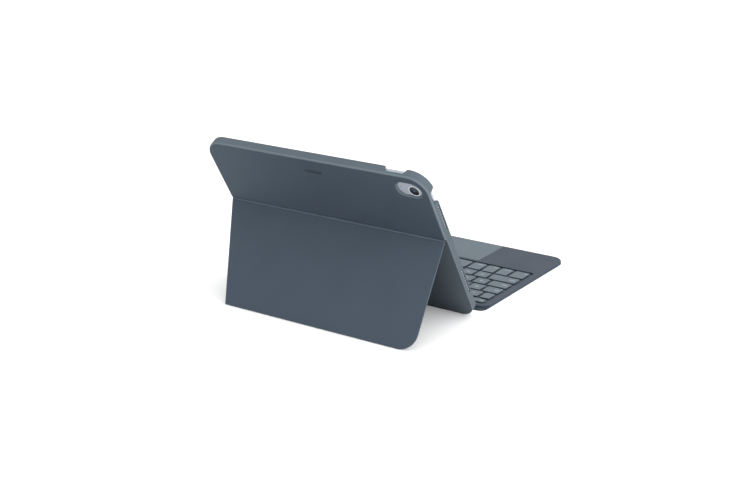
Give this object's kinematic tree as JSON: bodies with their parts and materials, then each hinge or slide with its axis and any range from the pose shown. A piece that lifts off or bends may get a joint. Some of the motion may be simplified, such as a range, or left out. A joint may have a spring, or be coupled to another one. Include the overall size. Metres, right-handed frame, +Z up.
{
  "type": "tablet keyboard case",
  "caption": "Protective tablet case standing on a folding rear kickstand, with a tablet in its pocket and a thin detachable keyboard with trackpad hinged to its foot.",
  "frame": {"origin": "middle of the keyboard underside, on the table it rests on", "axes": "+X to the typist right, +Y away from the typist, +Z up; the rest pose is the pictured pose, stand open and keyboard laid flat"},
  "size_m": [0.256, 0.3041, 0.1658],
  "materials": {
    "case_rim": "fine-grained soft-touch",
    "back_skin": "dark blue-grey textured skin",
    "lining": "soft brushed lining",
    "hinge_steel": "brushed",
    "magnet": "plated",
    "contact": "gold-plated",
    "stand_core": "satin",
    "stand_skin": "dark blue-grey textured skin",
    "tablet_body": "fine blasted",
    "screen_glass": "polished black glass, switched off",
    "display": "dark",
    "battery": "black film",
    "board": "solder mask",
    "lens": "dark coated glass",
    "sheet": "textured laminate",
    "deck": "textured laminate",
    "deck_plate": "rolled sheet",
    "key_well": "dark",
    "dome": "translucent rubber",
    "links": "moulded",
    "keycap": "satin",
    "trackpad": "satin glass"
  },
  "bodies": {
    "case": {"case_shell": "case_rim", "back_skin": "back_skin", "pocket_lining": "lining", "hinge_leaves": "hinge_steel", "hinge_rivets": "hinge_steel", "case_magnets": "magnet", "contact_pads": "contact"},
    "kickstand": {"kickstand_plate": "stand_core", "kickstand_outer_skin": "stand_skin", "kickstand_inner_skin": "stand_skin", "hinge_pins": "hinge_steel"},
    "tablet": {"tablet_housing": "tablet_body", "tablet_glass": "screen_glass", "tablet_display": "display", "tablet_battery": "battery", "tablet_board": "board", "camera_ring": "tablet_body", "camera_lens": "lens"},
    "volume_up_key": {"volume_up": "tablet_body"},
    "volume_down_key": {"volume_down": "tablet_body"},
    "top_button_key": {"top_button": "tablet_body"},
    "connector": {"connector_bar": "case_rim", "connector_magnets": "magnet", "connector_pins": "contact"},
    "spine": {"spine_panel": "sheet"},
    "deck": {"bottom_sheet": "sheet", "base_plate": "deck_plate", "deck_frame": "deck", "key_circuit": "board", "key_plate": "key_well", "rubber_domes": "dome", "scissor_links": "links", "controller_board": "board", "trackpad_switch": "links"},
    "trackpad_plate": {"trackpad": "trackpad", "trackpad_board": "board"},
    "key_escape_cap": {"key_escape": "keycap"},
    "function_keys_cap": {"function_keys": "keycap"},
    "number_keys_cap": {"number_keys": "keycap"},
    "key_delete_cap": {"key_delete": "keycap"},
    "key_tab_cap": {"key_tab": "keycap"},
    "q_row_keys_cap": {"q_row_keys": "keycap"},
    "key_caps_lock_cap": {"key_caps_lock": "keycap"},
    "a_row_keys_cap": {"a_row_keys": "keycap"},
    "key_return_cap": {"key_return": "keycap"},
    "key_shift_left_cap": {"key_shift_left": "keycap"},
    "z_row_keys_cap": {"z_row_keys": "keycap"},
    "key_shift_right_cap": {"key_shift_right": "keycap"},
    "key_function_cap": {"key_function": "keycap"},
    "key_control_cap": {"key_control": "keycap"},
    "key_option_left_cap": {"key_option_left": "keycap"},
    "key_command_left_cap": {"key_command_left": "keycap"},
    "key_space_cap": {"key_space": "keycap"},
    "key_command_right_cap": {"key_command_right": "keycap"},
    "key_option_right_cap": {"key_option_right": "keycap"},
    "key_arrow_left_cap": {"key_arrow_left": "keycap"},
    "key_arrow_up_cap": {"key_arrow_up": "keycap"},
    "key_arrow_down_cap": {"key_arrow_down": "keycap"},
    "key_arrow_right_cap": {"key_arrow_right": "keycap"}
  },
  "joints": [
    {"name": "fold_kickstand", "type": "hinge", "parent": "case", "child": "kickstand", "pos_m": [0, 0.16066, 0.09271], "axis": [1, 0, 0], "range_deg": [-60.93, 99.07]},
    {"name": "lift_out_tablet", "type": "slide", "parent": "case", "child": "tablet", "axis": [0, -0.8613, 0.5081], "range_m": [0, 0.03]},
    {"name": "press_volume_up", "type": "slide", "parent": "tablet", "child": "volume_up_key", "axis": [0, -0.5081, -0.8613], "range_m": [0, 0.0003], "stiffness_N_per_m": 5, "springref_m": -0.001},
    {"name": "press_volume_down", "type": "slide", "parent": "tablet", "child": "volume_down_key", "axis": [0, -0.5081, -0.8613], "range_m": [0, 0.0003], "stiffness_N_per_m": 5, "springref_m": -0.001},
    {"name": "press_top_button", "type": "slide", "parent": "tablet", "child": "top_button_key", "axis": [1, 0, 0], "range_m": [0, 0.0003], "stiffness_N_per_m": 5, "springref_m": -0.001},
    {"name": "detach_keyboard", "type": "slide", "parent": "case", "child": "connector", "axis": [0, -1, 0], "range_m": [0, 0.06]},
    {"name": "fold_keyboard", "type": "hinge", "parent": "connector", "child": "spine", "pos_m": [0, 0.09651, 0.00337], "axis": [1, 0, 0], "range_deg": [-67.51, 33.3]},
    {"name": "fold_keyboard_rear", "type": "hinge", "parent": "spine", "child": "deck", "pos_m": [0, 0.09283, 0.0006], "axis": [1, 0, 0], "range_deg": [-53.07, 26.2]},
    {"name": "press_trackpad", "type": "slide", "parent": "deck", "child": "trackpad_plate", "axis": [0, 0, -1], "range_m": [0, 0.0003], "stiffness_N_per_m": 100, "springref_m": -0.003},
    {"name": "press_key_escape", "type": "slide", "parent": "deck", "child": "key_escape_cap", "axis": [0, 0, -1], "range_m": [0, 0.001], "stiffness_N_per_m": 20, "springref_m": -0.002},
    {"name": "press_function_keys", "type": "slide", "parent": "deck", "child": "function_keys_cap", "axis": [0, 0, -1], "range_m": [0, 0.001], "stiffness_N_per_m": 20, "springref_m": -0.002},
    {"name": "press_number_keys", "type": "slide", "parent": "deck", "child": "number_keys_cap", "axis": [0, 0, -1], "range_m": [0, 0.001], "stiffness_N_per_m": 20, "springref_m": -0.002},
    {"name": "press_key_delete", "type": "slide", "parent": "deck", "child": "key_delete_cap", "axis": [0, 0, -1], "range_m": [0, 0.001], "stiffness_N_per_m": 20, "springref_m": -0.002},
    {"name": "press_key_tab", "type": "slide", "parent": "deck", "child": "key_tab_cap", "axis": [0, 0, -1], "range_m": [0, 0.001], "stiffness_N_per_m": 20, "springref_m": -0.002},
    {"name": "press_q_row_keys", "type": "slide", "parent": "deck", "child": "q_row_keys_cap", "axis": [0, 0, -1], "range_m": [0, 0.001], "stiffness_N_per_m": 20, "springref_m": -0.002},
    {"name": "press_key_caps_lock", "type": "slide", "parent": "deck", "child": "key_caps_lock_cap", "axis": [0, 0, -1], "range_m": [0, 0.001], "stiffness_N_per_m": 20, "springref_m": -0.002},
    {"name": "press_a_row_keys", "type": "slide", "parent": "deck", "child": "a_row_keys_cap", "axis": [0, 0, -1], "range_m": [0, 0.001], "stiffness_N_per_m": 20, "springref_m": -0.002},
    {"name": "press_key_return", "type": "slide", "parent": "deck", "child": "key_return_cap", "axis": [0, 0, -1], "range_m": [0, 0.001], "stiffness_N_per_m": 20, "springref_m": -0.002},
    {"name": "press_key_shift_left", "type": "slide", "parent": "deck", "child": "key_shift_left_cap", "axis": [0, 0, -1], "range_m": [0, 0.001], "stiffness_N_per_m": 20, "springref_m": -0.002},
    {"name": "press_z_row_keys", "type": "slide", "parent": "deck", "child": "z_row_keys_cap", "axis": [0, 0, -1], "range_m": [0, 0.001], "stiffness_N_per_m": 20, "springref_m": -0.002},
    {"name": "press_key_shift_right", "type": "slide", "parent": "deck", "child": "key_shift_right_cap", "axis": [0, 0, -1], "range_m": [0, 0.001], "stiffness_N_per_m": 20, "springref_m": -0.002},
    {"name": "press_key_function", "type": "slide", "parent": "deck", "child": "key_function_cap", "axis": [0, 0, -1], "range_m": [0, 0.001], "stiffness_N_per_m": 20, "springref_m": -0.002},
    {"name": "press_key_control", "type": "slide", "parent": "deck", "child": "key_control_cap", "axis": [0, 0, -1], "range_m": [0, 0.001], "stiffness_N_per_m": 20, "springref_m": -0.002},
    {"name": "press_key_option_left", "type": "slide", "parent": "deck", "child": "key_option_left_cap", "axis": [0, 0, -1], "range_m": [0, 0.001], "stiffness_N_per_m": 20, "springref_m": -0.002},
    {"name": "press_key_command_left", "type": "slide", "parent": "deck", "child": "key_command_left_cap", "axis": [0, 0, -1], "range_m": [0, 0.001], "stiffness_N_per_m": 20, "springref_m": -0.002},
    {"name": "press_key_space", "type": "slide", "parent": "deck", "child": "key_space_cap", "axis": [0, 0, -1], "range_m": [0, 0.001], "stiffness_N_per_m": 20, "springref_m": -0.002},
    {"name": "press_key_command_right", "type": "slide", "parent": "deck", "child": "key_command_right_cap", "axis": [0, 0, -1], "range_m": [0, 0.001], "stiffness_N_per_m": 20, "springref_m": -0.002},
    {"name": "press_key_option_right", "type": "slide", "parent": "deck", "child": "key_option_right_cap", "axis": [0, 0, -1], "range_m": [0, 0.001], "stiffness_N_per_m": 20, "springref_m": -0.002},
    {"name": "press_key_arrow_left", "type": "slide", "parent": "deck", "child": "key_arrow_left_cap", "axis": [0, 0, -1], "range_m": [0, 0.001], "stiffness_N_per_m": 20, "springref_m": -0.002},
    {"name": "press_key_arrow_up", "type": "slide", "parent": "deck", "child": "key_arrow_up_cap", "axis": [0, 0, -1], "range_m": [0, 0.001], "stiffness_N_per_m": 20, "springref_m": -0.002},
    {"name": "press_key_arrow_down", "type": "slide", "parent": "deck", "child": "key_arrow_down_cap", "axis": [0, 0, -1], "range_m": [0, 0.001], "stiffness_N_per_m": 20, "springref_m": -0.002},
    {"name": "press_key_arrow_right", "type": "slide", "parent": "deck", "child": "key_arrow_right_cap", "axis": [0, 0, -1], "range_m": [0, 0.001], "stiffness_N_per_m": 20, "springref_m": -0.002}
  ],
  "couplings": [
    {"joint": "fold_keyboard_rear", "follows": "fold_keyboard", "ratio": 0.7854}
  ]
}
